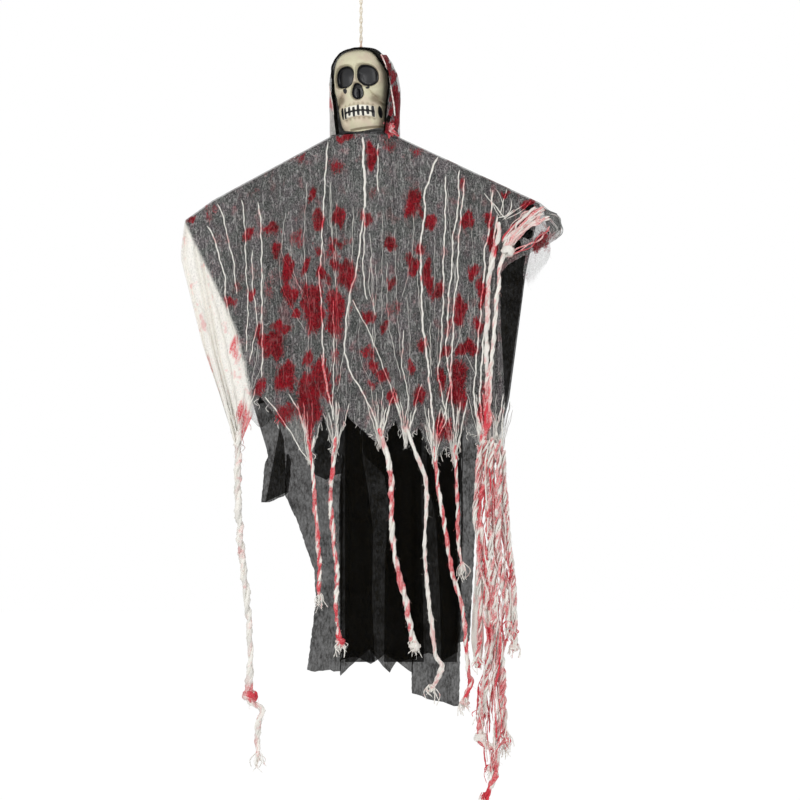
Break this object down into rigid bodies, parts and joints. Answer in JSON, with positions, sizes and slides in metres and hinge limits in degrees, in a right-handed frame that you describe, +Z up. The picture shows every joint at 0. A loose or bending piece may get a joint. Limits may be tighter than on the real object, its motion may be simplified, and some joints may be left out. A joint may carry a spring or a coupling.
{
  "type": "hanging ghost decoration",
  "caption": "Skull in a hood above a ragged black robe and a stained gauze drape with knotted tails, hung from a doubled string.",
  "frame": {"origin": "top of the hanging string's loop, where a hook holds it", "axes": "+Z up along the string, the face looks along -Y, the arms run along X"},
  "size_m": [0.4566, 0.1029, 0.9992],
  "materials": {
    "ivory_string": "twisted matte thread",
    "bone_plastic": "moulded, brown wash, black in the hollows",
    "grey_foam": "open foam",
    "steel_wire": "bare drawn wire",
    "black_nonwoven": "thin fibrous nonwoven",
    "stained_gauze": "open white gauze with red stains"
  },
  "bodies": {
    "root": {"hanging_string": "ivory_string", "string_knot": "ivory_string", "skull_front": "bone_plastic", "skull_back": "bone_plastic", "neck_plug": "grey_foam", "shoulder_wire": "steel_wire", "hood_lining": "black_nonwoven", "hood_gauze": "stained_gauze", "black_robe": "black_nonwoven", "gauze_drape": "stained_gauze"}
  },
  "joints": []
}
